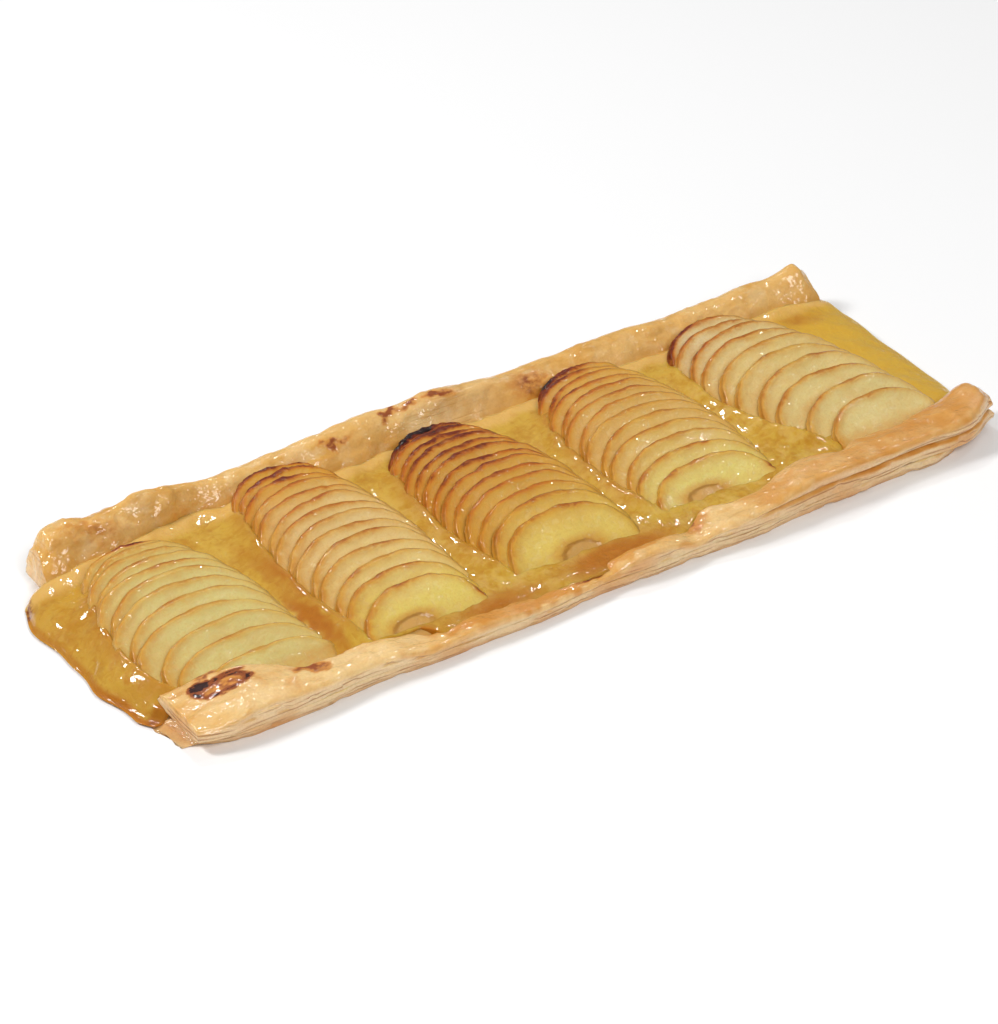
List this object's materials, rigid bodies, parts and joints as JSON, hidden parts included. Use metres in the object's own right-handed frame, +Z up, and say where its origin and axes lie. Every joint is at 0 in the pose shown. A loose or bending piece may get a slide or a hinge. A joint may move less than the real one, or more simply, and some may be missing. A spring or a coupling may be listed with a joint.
{
  "type": "apple tart strip",
  "caption": "Long puff pastry strip with raised side rims, filled with apple compote and a row of fanned half apples under a clear glaze.",
  "frame": {"origin": "middle of the flat underside, under the middle of the strip's bounding box", "axes": "+X along the strip, +Y across it to the taller rim, +Z up"},
  "size_m": [0.3931, 0.1378, 0.0234],
  "materials": {
    "pastry": "glazed, flaky baked dough",
    "compote": "wet, glossy fruit puree",
    "apple": "moist baked fruit under clear glaze"
  },
  "bodies": {
    "root": {"pastry_base": "pastry", "rim_tall": "pastry", "rim_low": "pastry", "compote": "compote", "apple_fan_1": "apple", "apple_fan_2": "apple", "apple_fan_3": "apple", "apple_fan_4": "apple", "apple_fan_5": "apple"}
  },
  "joints": []
}
